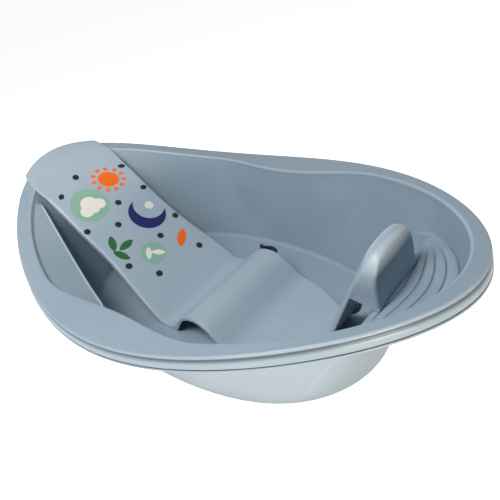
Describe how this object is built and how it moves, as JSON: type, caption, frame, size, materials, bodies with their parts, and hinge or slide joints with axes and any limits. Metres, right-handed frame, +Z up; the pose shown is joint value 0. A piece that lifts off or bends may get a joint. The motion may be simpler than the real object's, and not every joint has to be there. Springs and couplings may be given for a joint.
{
  "type": "baby bathtub",
  "caption": "Oval moulded baby bathtub with a wave-shaped rim, a lift-out bath support with sloping back board, knee ridge and foot stop, and a drain plug on the floor.",
  "frame": {"origin": "on the ground, below the middle of the overall box", "axes": "+X along the tub towards the foot end, +Y to the far side where the drain is, +Z up"},
  "size_m": [0.8644, 0.547, 0.259],
  "materials": {
    "tub_plastic": "satin moulded polypropylene, pale grey-blue",
    "support_plastic": "satin moulded polypropylene with a printed back board",
    "drain_plastic": "smooth navy plastic",
    "seal_rubber": "soft dark rubber",
    "foot_rubber": "matte grey rubber"
  },
  "bodies": {
    "tub": {"tub_shell": "tub_plastic", "drain_ring": "drain_plastic", "foot_head_near": "foot_rubber", "foot_head_far": "foot_rubber", "foot_foot_near": "foot_rubber", "foot_foot_far": "foot_rubber"},
    "support": {"bath_support": "support_plastic"},
    "plug": {"drain_plug": "drain_plastic", "plug_seal": "seal_rubber"}
  },
  "joints": [
    {"name": "support_lift", "type": "slide", "parent": "tub", "child": "support", "axis": [0, 0, 1], "range_m": [0, 0.3]},
    {"name": "plug_pull", "type": "slide", "parent": "tub", "child": "plug", "axis": [0, 0, 1], "range_m": [0, 0.08]}
  ]
}
